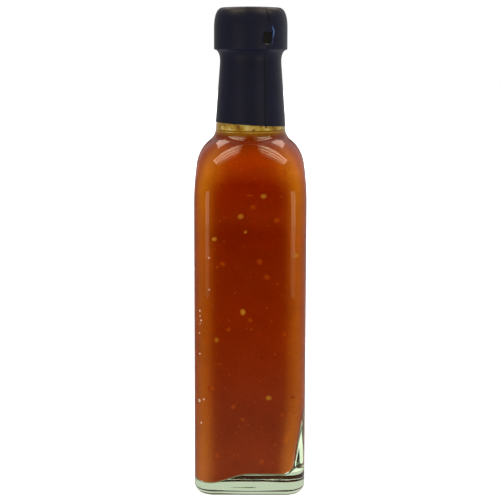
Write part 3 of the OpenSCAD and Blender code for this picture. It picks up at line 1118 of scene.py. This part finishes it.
# %% Floor
bpy.ops.mesh.primitive_plane_add(size=12, location=(0, 0, 0))
floor = bpy.context.object
floor.name = "floor"
sweep, tree = new_material("white sweep")
pale = add_node(tree, "BsdfDiffuse", {"Color": (0.9, 0.9, 0.9, 1)})
lit = add_node(tree, "Emission", {"Color": (1, 1, 1, 1), "Strength": 0.9})
both = add_node(tree, "AddShader", {}, {0: pale.outputs[0], 1: lit.outputs[0]})
put_on(floor, sweep, both)
floor.visible_shadow = False
floor.visible_glossy = False

# %% Background
world = bpy.data.worlds.new("tent")
bpy.context.scene.world = world
world.use_nodes = True
tree = world.node_tree
tree.nodes.clear()
output = add_node(tree, "OutputWorld")
path = add_node(tree, "LightPath")
direction = add_node(tree, "TexCoord").outputs["Generated"]
axes = add_node(tree, "SeparateXYZ", {}, {0: direction})

TENT_LIGHT = 1.04
FROM_RIGHT, FROM_ABOVE, FROM_FRONT, SIDES_LESS = 0.18, 0.08, 0.18, 0.32
x_axis = axes.outputs["X"]
sideways = add_node(tree, "Math.MULTIPLY", {}, {0: x_axis, 1: x_axis})
tent = add_node(tree, "Math.MULTIPLY_ADD", {1: FROM_ABOVE, 2: TENT_LIGHT},
                {0: axes.outputs["Z"]})
for share, part in ((FROM_RIGHT, x_axis), (-FROM_FRONT, axes.outputs["Y"]),
                    (-SIDES_LESS, sideways.outputs[0])):
    tent = add_node(tree, "Math.MULTIPLY_ADD", {1: share},
                    {0: part, 2: tent.outputs[0]})
tent_light = add_node(tree, "Background", {"Color": (1, 1, 1, 1)}, {"Strength": tent.outputs[0]})
white = add_node(tree, "Background", {"Color": (1, 1, 1, 1), "Strength": 1.0})

# %% What is mirrored
# Degrees round from the front, towards +X, and the brightness there.
MIRROR_MOST = 2.0
around_stops = (
    (-180, 0.02), (-165, 0.15), (-156, 0.5), (-148, 0.5), (-142, 0.35), (-130, 0.22),
    (-105, 0.2), (-93, 0.13), (-77, 0.1), (-60, 0.02), (-40, 0.0), (40, 0.0), (60, 0.02),
    (77, 0.12), (93, 0.2), (105, 0.35), (130, 0.5), (142, 0.55), (148, 0.6), (156, 0.5),
    (165, 0.15), (180, 0.02))
front = add_node(tree, "Math.MULTIPLY", {1: -1.0}, {0: axes.outputs["Y"]})
azimuth = add_node(tree, "Math.ARCTAN2", {}, {0: x_axis, 1: front.outputs[0]})
turn = add_node(tree, "MapRange", {"From Min": -math.pi, "From Max": math.pi},
                {"Value": azimuth.outputs[0]})
around = add_node(tree, "ValToRGB", {}, {0: turn.outputs[0]})
greys = [(degrees, (value / MIRROR_MOST,) * 3 + (1,)) for degrees, value in around_stops]
set_stops(around, greys, low=-180, high=180)
below = add_node(tree, "MapRange", {"From Min": -0.2, "From Max": -0.32, "To Max": 0.12},
                 {"Value": axes.outputs["Z"]})
mirrored = add_node(tree, "Math.MULTIPLY_ADD", {1: MIRROR_MOST},
                    {0: around.outputs[0], 2: below.outputs[0]})
mirrored_light = add_node(tree, "Background", {"Color": (1, 0.97, 0.93, 1)},
                          {"Strength": mirrored.outputs[0]})

# %% Which ray sees what
straight = add_node(tree, "Math.LESS_THAN", {1: 0.5},
                    {0: path.outputs["Diffuse Depth"]})
seen_through = add_node(tree, "Math.MULTIPLY", {},
                        {0: straight.outputs[0], 1: path.outputs["Is Transmission Ray"]})
seen = add_node(tree, "Math.MAXIMUM", {},
                {0: path.outputs["Is Camera Ray"], 1: seen_through.outputs[0]})
tent_or_white = add_node(tree, "MixShader", {}, {0: seen.outputs[0], 1: tent_light.outputs[0],
                                                 2: white.outputs[0]})
not_through = add_node(tree, "Math.SUBTRACT", {0: 1.0},
                       {1: path.outputs["Is Transmission Ray"]})
only_mirrored = add_node(tree, "Math.MULTIPLY", {},
                         {0: path.outputs["Is Glossy Ray"], 1: not_through.outputs[0]})
choose = add_node(tree, "MixShader", {}, {0: only_mirrored.outputs[0], 1: tent_or_white.outputs[0],
                                          2: mirrored_light.outputs[0]})
tree.links.new(choose.outputs[0], output.inputs["Surface"])

# %% [markdown]
# ## Panels of light
#
# Warm panels overhead, with a gap in the middle and bars across, draw the bright arcs on the
# shoulder. They are dimmer beside the gap and towards the camera, so the arcs fade there. One on
# each side behind the bottle draws the small highlights above the arcs. An upright strip on
# each side, brighter towards its top, draws the line down each front corner. The panels are
# only mirrored: they add nothing to the even light of the tent.

# %% Panels of light
PANEL_HEIGHT = 750
SHOULDER_Z = 150


def light_panel(name, centre, target, width, height, radiance, tint):
    """A rectangle of light in mm that faces a target, seen only by mirrored rays."""
    data = bpy.data.lights.new(name, "AREA")
    data.shape = "RECTANGLE"
    data.size, data.size_y = width * MM, height * MM
    data.energy = radiance * math.pi * width * height * MM * MM
    data.color = tint
    light = bpy.data.objects.new(name, data)
    light.location = Vector(centre) * MM
    facing = Vector(target) - Vector(centre)
    light.rotation_euler = facing.to_track_quat("-Z", "Y").to_euler()
    for kind in ("camera", "diffuse", "transmission", "volume_scatter"):
        setattr(light, "visible_" + kind, False)
    bpy.context.collection.objects.link(light)


def overhead(name, x0, x1, y0, y1, radiance, tint):
    """A level panel over the bottle; x and y are shares of its height, y towards the camera."""
    x0, x1, y0, y1 = (share * PANEL_HEIGHT for share in (x0, x1, y0, y1))
    x, y = (x0 + x1) / 2, -(y0 + y1) / 2
    light_panel(name, (x, y, SHOULDER_Z + PANEL_HEIGHT), (x, y, 0), abs(x1 - x0), abs(y1 - y0),
                radiance, tint)


# %% Overhead panels
# Shares run from the gap outwards, bands from over the bottle towards the camera.
WARM, PEACH = (1, 0.8, 0.5), (1, 0.85, 0.7)
SHARES = ((0.12, 0.2, 0.3), (0.2, 0.32, 0.7), (0.32, 1.08, 1.0))
BANDS = ((-0.02, 0.13, 6.0), (0.2, 0.31, 7.0), (0.38, 0.5, 5.5), (0.52, 0.7, 1.6),
         (0.72, 0.95, 0.6))
for side, shift in ((-1, 0.03), (1, 0.0)):
    for k, (near, far, radiance) in enumerate(BANDS):
        for n, (inner, outer, share) in enumerate(SHARES):
            overhead(f"band_{k}_{n}", (inner + shift) * side, (outer + shift) * side, near, far,
                     radiance * share, WARM)
    overhead("rear_panel", 0.1 * side, 0.75 * side, -1.1, -0.45, 3.2, PEACH)

# %% Upright strips
STRIP_AWAY, STRIP_AZIMUTH = 400, 38
STRIP_PARTS = ((20, 48, 0.6), (48, 72, 1.2), (72, 170, 1.8))
for side, width in ((-1, 150), (1, 178)):
    a = math.radians(STRIP_AZIMUTH * side)
    x, y = STRIP_AWAY * math.sin(a), -STRIP_AWAY * math.cos(a)
    for low, high, radiance in STRIP_PARTS:
        z = (low + high) / 2
        light_panel("strip", (x, y, z), (0, 0, z), width, high - low, radiance, WARM)
print(len(bpy.data.lights), "panels")

# %% [markdown]
# ## Light paths
#
# Light reaches the sauce only through the glass, by refraction, so refractive caustics are on.
# The noisy mirrored ones aren't needed. A ray may turn many times in the thick base before it
# comes out, so it gets many bounces.

# %% Light paths
cycles = bpy.context.scene.cycles
cycles.caustics_refractive = True
cycles.caustics_reflective = False
cycles.max_bounces = 24
cycles.glossy_bounces = 12
cycles.transmission_bounces = 24
cycles.transparent_max_bounces = 8
